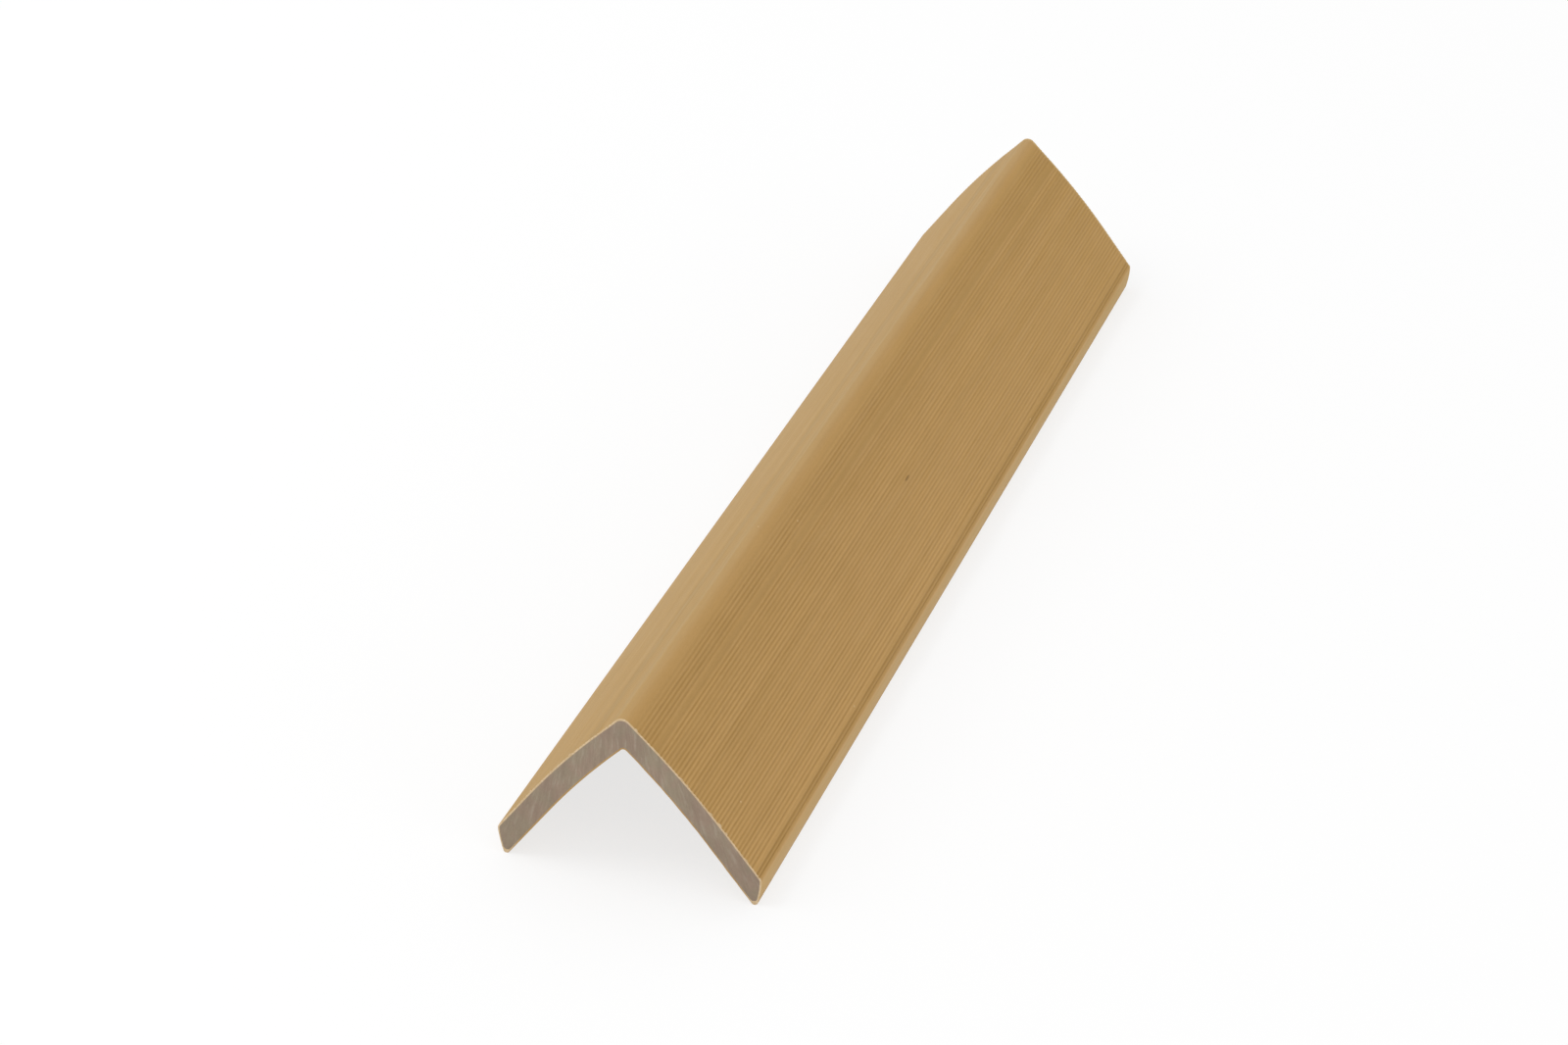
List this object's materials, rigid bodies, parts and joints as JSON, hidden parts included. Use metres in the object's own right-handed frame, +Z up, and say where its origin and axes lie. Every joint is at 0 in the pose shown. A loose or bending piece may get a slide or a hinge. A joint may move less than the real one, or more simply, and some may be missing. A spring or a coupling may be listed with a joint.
{
  "type": "corner guard moulding",
  "caption": "Short length of wood-plastic corner guard: a right-angle extrusion with legs that turn in slightly, cut-back edges, and a tan cap layer round a grey-brown core.",
  "frame": {"origin": "on the floor, in the middle of the length, under the corner line", "axes": "+X along the moulding, +Y across it, +Z up through the corner line"},
  "size_m": [0.32, 0.065, 0.0443],
  "materials": {
    "core_composite": "matte",
    "cap_composite": "matte"
  },
  "bodies": {
    "root": {"core": "core_composite", "cap_layer": "cap_composite"}
  },
  "joints": []
}
